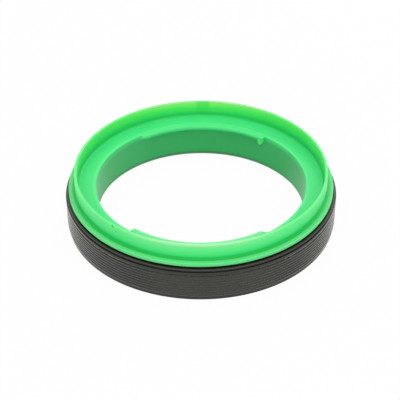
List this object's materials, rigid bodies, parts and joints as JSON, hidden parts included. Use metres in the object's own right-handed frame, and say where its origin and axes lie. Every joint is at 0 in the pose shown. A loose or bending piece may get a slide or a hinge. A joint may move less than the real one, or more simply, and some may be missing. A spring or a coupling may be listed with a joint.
{
  "type": "crankshaft oil seal",
  "caption": "Round crankshaft oil seal ring: ribbed black rubber cover outside, seal lip inside, held on a green plastic mounting sleeve with an upright rim.",
  "frame": {"origin": "centre of the ring on its base plane, the oil side, which it rests on", "axes": "+Z along the seal's axis to the air side, where the sleeve's rim is; the stop tabs stand across +Y and -Y; +X to the right in the picture"},
  "size_m": [0.13, 0.13, 0.0277],
  "materials": {
    "green_sleeve": "moulded, slightly translucent, satin",
    "black_rubber": "moulded, matt with a soft sheen",
    "case_steel": "pressed sheet, phosphated grey",
    "clamp_steel": "pressed sheet, bright",
    "lip_polymer": "skived filled fluoropolymer, waxy",
    "gasket_rubber": "cut sheet, matt",
    "grey_felt": "pressed fibre felt"
  },
  "bodies": {
    "root": {"assembly_sleeve": "green_sleeve", "rubber_cover": "black_rubber", "steel_case": "case_steel", "clamp_ring": "clamp_steel", "sealing_lip": "lip_polymer", "lip_gasket": "gasket_rubber", "dust_felt": "grey_felt"}
  },
  "joints": []
}
